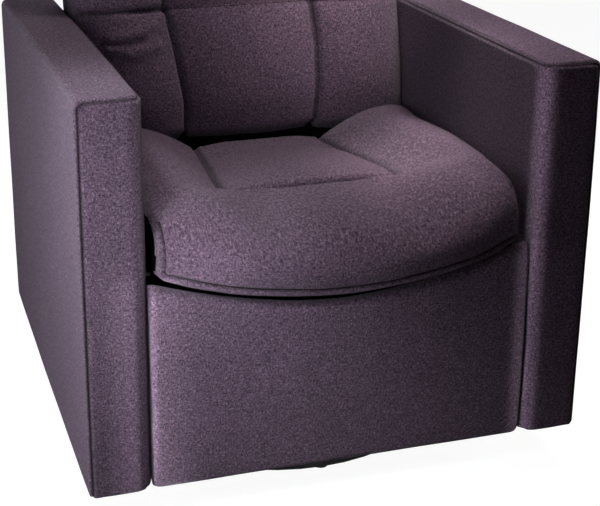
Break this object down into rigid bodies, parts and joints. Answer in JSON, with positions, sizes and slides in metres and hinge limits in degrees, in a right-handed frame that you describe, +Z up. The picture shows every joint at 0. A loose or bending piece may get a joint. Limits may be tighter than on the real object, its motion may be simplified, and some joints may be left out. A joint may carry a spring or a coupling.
{
  "type": "manual recliner",
  "caption": "Upholstered swivel recliner with square arms, a bucket seat cushion, a reclining back and a fold-out linkage footrest on a round base.",
  "frame": {"origin": "on the floor under the swivel axis, at the middle of the chair's width and depth", "axes": "+Z up, the chair faces -Y, +X to the right of someone who looks at its front"},
  "size_m": [0.76, 0.81, 1.0199],
  "materials": {
    "plum_weave": "heathered woven cover",
    "pale_wood": "planed softwood and plywood",
    "grey_steel": "zinc plated",
    "black_steel": "satin black powder coat",
    "dark_rubber": "matt"
  },
  "bodies": {
    "base": {"glide_front": "dark_rubber", "glide_rear": "dark_rubber", "glide_left": "dark_rubber", "glide_right": "dark_rubber", "floor_ring": "black_steel", "base_cross": "black_steel", "swivel_hub": "black_steel", "bearing_lower_plate": "grey_steel", "bearing_ball_ring": "grey_steel", "swivel_pin": "grey_steel"},
    "chair": {"bearing_upper_plate": "grey_steel", "cross_rail_front": "black_steel", "cross_rail_rear": "black_steel", "side_plate_left": "grey_steel", "side_plate_right": "grey_steel", "seat_bolt_front_left": "grey_steel", "seat_bolt_front_right": "grey_steel", "seat_bolt_rear_left": "grey_steel", "seat_bolt_rear_right": "grey_steel", "arm_standoff_front_left": "grey_steel", "arm_standoff_front_right": "grey_steel", "arm_standoff_rear_left": "grey_steel", "arm_standoff_rear_right": "grey_steel", "back_pivot_bolt_left": "grey_steel", "back_pivot_bolt_right": "grey_steel", "arm_frame_left": "pale_wood", "arm_frame_right": "pale_wood", "arm_cover_left": "plum_weave", "arm_cover_right": "plum_weave", "rear_panel": "plum_weave", "seat_rail_front": "pale_wood", "seat_rail_rear": "pale_wood", "seat_rail_left": "pale_wood", "seat_rail_right": "pale_wood", "seat_spring_1": "grey_steel", "seat_spring_2": "grey_steel", "seat_spring_3": "grey_steel", "seat_spring_4": "grey_steel", "seat_cushion": "plum_weave", "back_spring_left": "grey_steel", "back_spring_right": "grey_steel"},
    "drive": {"drive_link_left": "black_steel", "drive_link_right": "black_steel", "sync_tube": "grey_steel"},
    "rocker": {"rocker_link_left": "black_steel", "rocker_link_right": "black_steel"},
    "upper_arms": {"upper_arm_left": "black_steel", "upper_arm_right": "black_steel"},
    "lower_arms": {"lower_arm_left": "black_steel", "lower_arm_right": "black_steel"},
    "footrest": {"footrest_bracket_left": "black_steel", "footrest_bracket_right": "black_steel", "footrest_board": "pale_wood", "footrest_pad": "plum_weave"},
    "back": {"back_frame": "pale_wood", "back_bracket_left": "black_steel", "back_bracket_right": "black_steel", "back_shell": "plum_weave", "back_cushion": "plum_weave"}
  },
  "joints": [
    {"name": "swivel", "type": "hinge", "parent": "base", "child": "chair", "pos_m": [0, 0, 0.06], "axis": [0, 0, 1], "continuous": true},
    {"name": "footrest_open", "type": "hinge", "parent": "chair", "child": "drive", "pos_m": [0, -0.06, 0.3], "axis": [-1, 0, 0], "range_deg": [0, 90]},
    {"name": "rocker_turn", "type": "hinge", "parent": "chair", "child": "rocker", "pos_m": [0, -0.162, 0.336], "axis": [-1, 0, 0], "range_deg": [0, 90]},
    {"name": "upper_arm_turn", "type": "hinge", "parent": "drive", "child": "upper_arms", "pos_m": [0, 0.035, 0.215], "axis": [-1, 0, 0], "range_deg": [-90, 0]},
    {"name": "footrest_turn", "type": "hinge", "parent": "upper_arms", "child": "footrest", "pos_m": [0, -0.305, 0.335], "axis": [-1, 0, 0], "range_deg": [0, 90]},
    {"name": "lower_arm_turn", "type": "hinge", "parent": "rocker", "child": "lower_arms", "pos_m": [0, -0.067, 0.141], "axis": [-1, 0, 0], "range_deg": [-90, 0]},
    {"name": "back_recline", "type": "hinge", "parent": "chair", "child": "back", "pos_m": [0, 0.192, 0.345], "axis": [-1, 0, 0], "range_deg": [0, 35], "deforming": ["back_spring_left", "back_spring_right"]}
  ],
  "couplings": [
    {"joint": "rocker_turn", "follows": "footrest_open", "ratio": 1},
    {"joint": "upper_arm_turn", "follows": "footrest_open", "ratio": -1},
    {"joint": "footrest_turn", "follows": "footrest_open", "ratio": 1},
    {"joint": "lower_arm_turn", "follows": "footrest_open", "ratio": -1}
  ]
}
